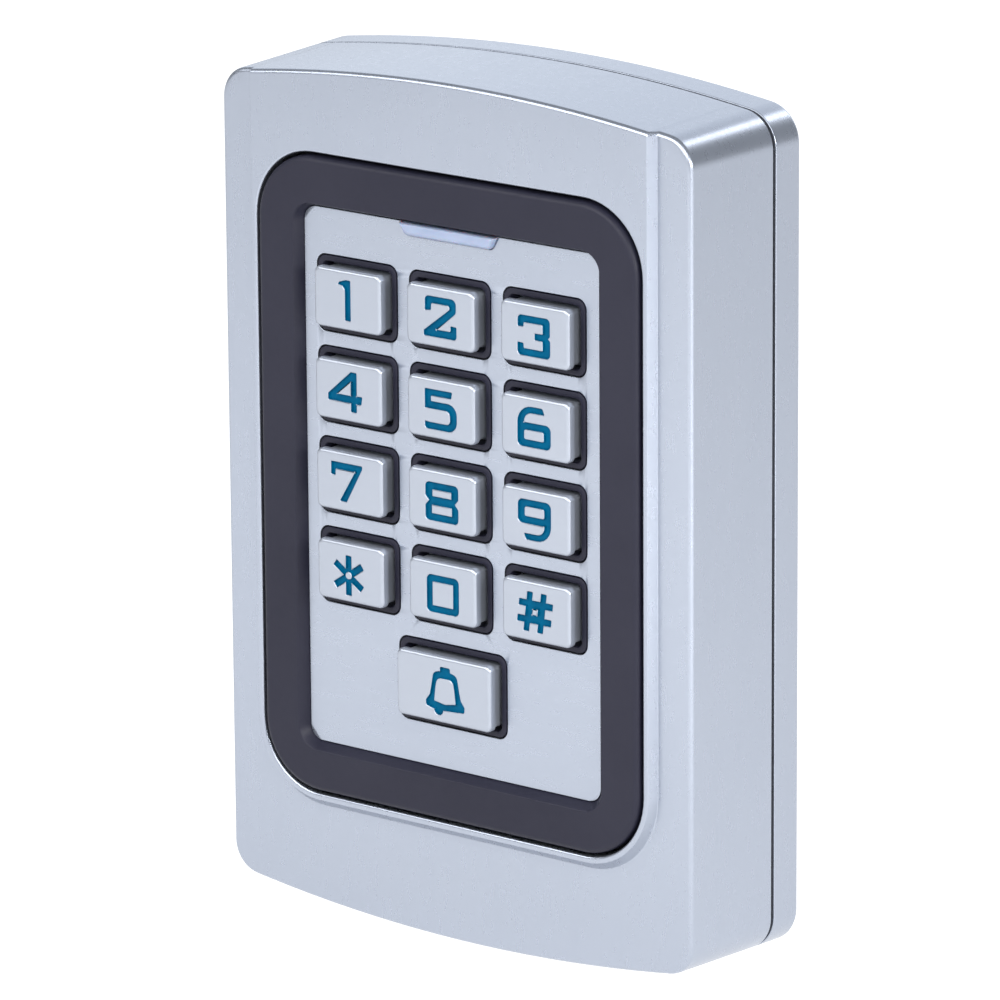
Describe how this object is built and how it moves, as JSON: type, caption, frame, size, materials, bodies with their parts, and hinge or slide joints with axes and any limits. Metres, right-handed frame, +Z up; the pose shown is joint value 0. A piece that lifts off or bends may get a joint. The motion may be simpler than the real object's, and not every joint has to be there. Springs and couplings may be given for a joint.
{
  "type": "rfid card reader",
  "caption": "Wall-mounted RFID card reader with a silver cast case, black bezel window, telephone-layout metal key pad, bell key and status light bar.",
  "frame": {"origin": "centre of the flat rear face that lies on the wall", "axes": "+Z up along the casing's long side, +Y out of the rear face into the wall (the keys face -Y), +X to the right of a person facing the keys"},
  "size_m": [0.0836, 0.0261, 0.124],
  "materials": {
    "housing_lacquer": "satin silver lacquer",
    "key_plate_lacquer": "satin silver lacquer",
    "black_frame": "fine matt, dark grey",
    "frosted_lens": "frosted, pale blue",
    "key_metal": "satin chrome lacquer on cast zinc",
    "legend_blue": "blue resin in the engraving",
    "silicone": "matt",
    "black_rubber": "matt",
    "copper": "enamelled copper wire",
    "circuit_board": "green solder resist",
    "chip_epoxy": "matt moulding compound",
    "capacitor_sleeve": "shrink sleeve",
    "relay_case": "moulded case",
    "white_nylon": "natural nylon",
    "clear_epoxy": "clear epoxy",
    "zinc_steel": "zinc plated"
  },
  "bodies": {
    "root": {"front_housing": "housing_lacquer", "rear_plate": "housing_lacquer", "bezel_frame": "black_frame", "key_plate": "key_plate_lacquer", "indicator_lens": "frosted_lens", "keypad_mat": "silicone", "antenna_coil": "copper", "bezel_gasket": "black_rubber", "rear_gasket": "black_rubber", "cable_grommet": "black_rubber", "main_board": "circuit_board", "microcontroller": "chip_epoxy", "reader_chip": "chip_epoxy", "voltage_regulator": "chip_epoxy", "capacitor": "capacitor_sleeve", "crystal": "zinc_steel", "lock_relay": "relay_case", "harness_header": "white_nylon", "buzzer": "black_frame", "tamper_sensor": "clear_epoxy", "security_screw": "zinc_steel", "board_screw_1": "zinc_steel", "board_screw_2": "zinc_steel", "board_screw_3": "zinc_steel", "board_screw_4": "zinc_steel", "status_led_1": "white_nylon", "status_led_2": "white_nylon", "status_led_3": "white_nylon"},
    "key_1": {"key_1_cap": "key_metal", "key_1_legend": "legend_blue"},
    "key_2": {"key_2_cap": "key_metal", "key_2_legend": "legend_blue"},
    "key_3": {"key_3_cap": "key_metal", "key_3_legend": "legend_blue"},
    "key_4": {"key_4_cap": "key_metal", "key_4_legend": "legend_blue"},
    "key_5": {"key_5_cap": "key_metal", "key_5_legend": "legend_blue"},
    "key_6": {"key_6_cap": "key_metal", "key_6_legend": "legend_blue"},
    "key_7": {"key_7_cap": "key_metal", "key_7_legend": "legend_blue"},
    "key_8": {"key_8_cap": "key_metal", "key_8_legend": "legend_blue"},
    "key_9": {"key_9_cap": "key_metal", "key_9_legend": "legend_blue"},
    "key_star": {"key_star_cap": "key_metal", "key_star_legend": "legend_blue"},
    "key_0": {"key_0_cap": "key_metal", "key_0_legend": "legend_blue"},
    "key_hash": {"key_hash_cap": "key_metal", "key_hash_legend": "legend_blue"},
    "key_bell": {"key_bell_cap": "key_metal", "key_bell_legend": "legend_blue"}
  },
  "joints": [
    {"name": "press_1", "type": "slide", "parent": "root", "child": "key_1", "axis": [0, 1, 0], "range_m": [0, 0.001], "stiffness_N_per_m": 900, "deforming": ["keypad_mat"]},
    {"name": "press_2", "type": "slide", "parent": "root", "child": "key_2", "axis": [0, 1, 0], "range_m": [0, 0.001], "stiffness_N_per_m": 900, "deforming": ["keypad_mat"]},
    {"name": "press_3", "type": "slide", "parent": "root", "child": "key_3", "axis": [0, 1, 0], "range_m": [0, 0.001], "stiffness_N_per_m": 900, "deforming": ["keypad_mat"]},
    {"name": "press_4", "type": "slide", "parent": "root", "child": "key_4", "axis": [0, 1, 0], "range_m": [0, 0.001], "stiffness_N_per_m": 900, "deforming": ["keypad_mat"]},
    {"name": "press_5", "type": "slide", "parent": "root", "child": "key_5", "axis": [0, 1, 0], "range_m": [0, 0.001], "stiffness_N_per_m": 900, "deforming": ["keypad_mat"]},
    {"name": "press_6", "type": "slide", "parent": "root", "child": "key_6", "axis": [0, 1, 0], "range_m": [0, 0.001], "stiffness_N_per_m": 900, "deforming": ["keypad_mat"]},
    {"name": "press_7", "type": "slide", "parent": "root", "child": "key_7", "axis": [0, 1, 0], "range_m": [0, 0.001], "stiffness_N_per_m": 900, "deforming": ["keypad_mat"]},
    {"name": "press_8", "type": "slide", "parent": "root", "child": "key_8", "axis": [0, 1, 0], "range_m": [0, 0.001], "stiffness_N_per_m": 900, "deforming": ["keypad_mat"]},
    {"name": "press_9", "type": "slide", "parent": "root", "child": "key_9", "axis": [0, 1, 0], "range_m": [0, 0.001], "stiffness_N_per_m": 900, "deforming": ["keypad_mat"]},
    {"name": "press_star", "type": "slide", "parent": "root", "child": "key_star", "axis": [0, 1, 0], "range_m": [0, 0.001], "stiffness_N_per_m": 900, "deforming": ["keypad_mat"]},
    {"name": "press_0", "type": "slide", "parent": "root", "child": "key_0", "axis": [0, 1, 0], "range_m": [0, 0.001], "stiffness_N_per_m": 900, "deforming": ["keypad_mat"]},
    {"name": "press_hash", "type": "slide", "parent": "root", "child": "key_hash", "axis": [0, 1, 0], "range_m": [0, 0.001], "stiffness_N_per_m": 900, "deforming": ["keypad_mat"]},
    {"name": "press_bell", "type": "slide", "parent": "root", "child": "key_bell", "axis": [0, 1, 0], "range_m": [0, 0.001], "stiffness_N_per_m": 900, "deforming": ["keypad_mat"]}
  ]
}
